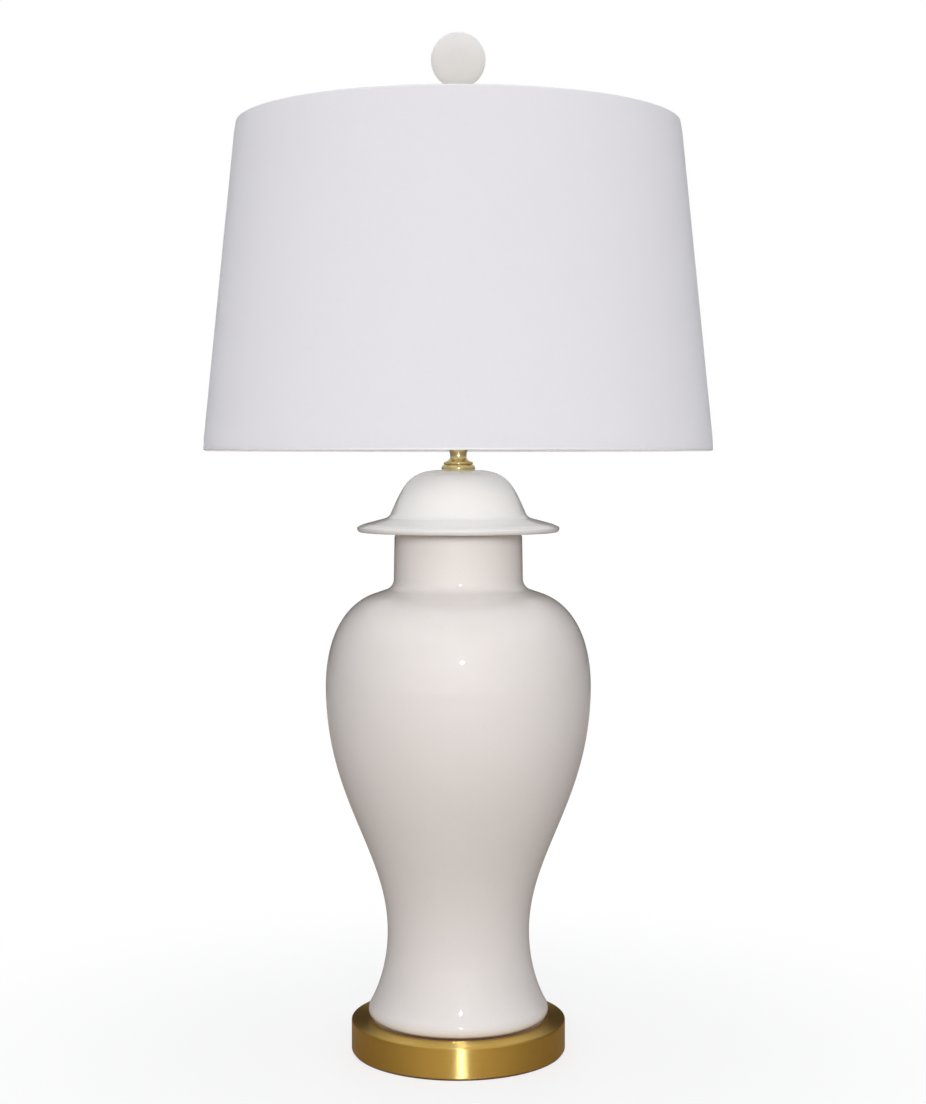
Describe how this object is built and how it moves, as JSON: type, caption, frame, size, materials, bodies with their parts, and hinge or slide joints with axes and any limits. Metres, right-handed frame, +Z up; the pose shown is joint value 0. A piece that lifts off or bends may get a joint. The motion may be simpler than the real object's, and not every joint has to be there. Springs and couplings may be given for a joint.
{
  "type": "ginger jar table lamp",
  "caption": "White porcelain ginger jar table lamp with a lid, round brass plinth, tapered white linen drum shade, harp, turn-knob socket and ball finial.",
  "frame": {"origin": "centre of the felt's underside, where the lamp rests", "axes": "+Z up along the rod; the harp lies in the XZ plane, the switch knob points to -Y (front), the cord inlet to +Y (back)"},
  "size_m": [0.4316, 0.4316, 0.8669],
  "materials": {
    "white_glaze": "clear gloss glaze over white porcelain",
    "brushed_brass": "brushed round the rim, lacquered",
    "polished_brass": "polished",
    "socket_brass": "bright dipped",
    "plated_steel": "brass plated steel, satin",
    "zinc_steel": "zinc plated",
    "cast_iron": "as cast",
    "brown_felt": "matt felt",
    "dark_rubber": "matt",
    "black_nylon": "matt",
    "black_phenolic": "moulded, half gloss",
    "fibre_sleeve": "pressed fibre",
    "thread_aluminium": "bright",
    "white_linen": "plain woven linen, matt",
    "styrene_liner": "satin",
    "white_wire": "white baked enamel",
    "white_ball": "matt bisque"
  },
  "bodies": {
    "stand": {"base_felt": "brown_felt", "base_plinth": "brushed_brass", "base_weight": "cast_iron", "flat_washer": "zinc_steel", "lock_washer": "zinc_steel", "bottom_nut": "zinc_steel", "cord_bushing": "black_nylon", "lamp_rod": "zinc_steel", "foot_gasket": "brown_felt", "jar": "white_glaze", "lid_gasket": "dark_rubber", "lid": "white_glaze", "check_ring": "polished_brass", "lamp_neck": "polished_brass", "harp_saddle": "plated_steel", "socket_cap": "socket_brass", "cap_set_screw": "zinc_steel", "socket_shell": "socket_brass", "socket_insulator": "fibre_sleeve", "socket_body": "black_phenolic", "terminal_screws": "polished_brass", "thread_shell": "thread_aluminium", "centre_contact": "polished_brass"},
    "switch": {"switch_shaft": "polished_brass", "switch_knob": "black_phenolic"},
    "harp": {"harp_wire": "plated_steel", "harp_stud": "plated_steel"},
    "left_ferrule": {"ferrule_left": "plated_steel"},
    "right_ferrule": {"ferrule_right": "plated_steel"},
    "shade": {"shade_fabric": "white_linen", "shade_liner": "styrene_liner", "shade_top_ring": "white_wire", "shade_bottom_ring": "white_wire", "spider_hub": "plated_steel", "spider_arm_1": "white_wire", "spider_arm_2": "white_wire", "spider_arm_3": "white_wire"},
    "finial_base": {"finial_base": "polished_brass"},
    "finial_ball": {"finial_ball": "white_ball"}
  },
  "joints": [
    {"name": "switch_turn", "type": "hinge", "parent": "stand", "child": "switch", "pos_m": [0, -0.025, 0.5452], "axis": [0, 1, 0], "continuous": true},
    {"name": "harp_lift", "type": "slide", "parent": "stand", "child": "harp", "axis": [0, 0, 1], "range_m": [0, 0.05]},
    {"name": "ferrule_left_slide", "type": "slide", "parent": "harp", "child": "left_ferrule", "axis": [0, 0, 1], "range_m": [0, 0.012]},
    {"name": "ferrule_right_slide", "type": "slide", "parent": "harp", "child": "right_ferrule", "axis": [0, 0, 1], "range_m": [0, 0.012]},
    {"name": "shade_lift", "type": "slide", "parent": "harp", "child": "shade", "axis": [0, 0, 1], "range_m": [0, 0.285]},
    {"name": "finial_rise", "type": "slide", "parent": "shade", "child": "finial_base", "axis": [0, 0, 1], "range_m": [0, 0.0128]},
    {"name": "finial_turn", "type": "hinge", "parent": "finial_base", "child": "finial_ball", "pos_m": [0, 0, 0.8438], "axis": [0, 0, 1], "range_deg": [0, 4860]}
  ],
  "couplings": [
    {"joint": "finial_rise", "follows": "finial_turn", "m_per_rad": 0.00014972}
  ]
}
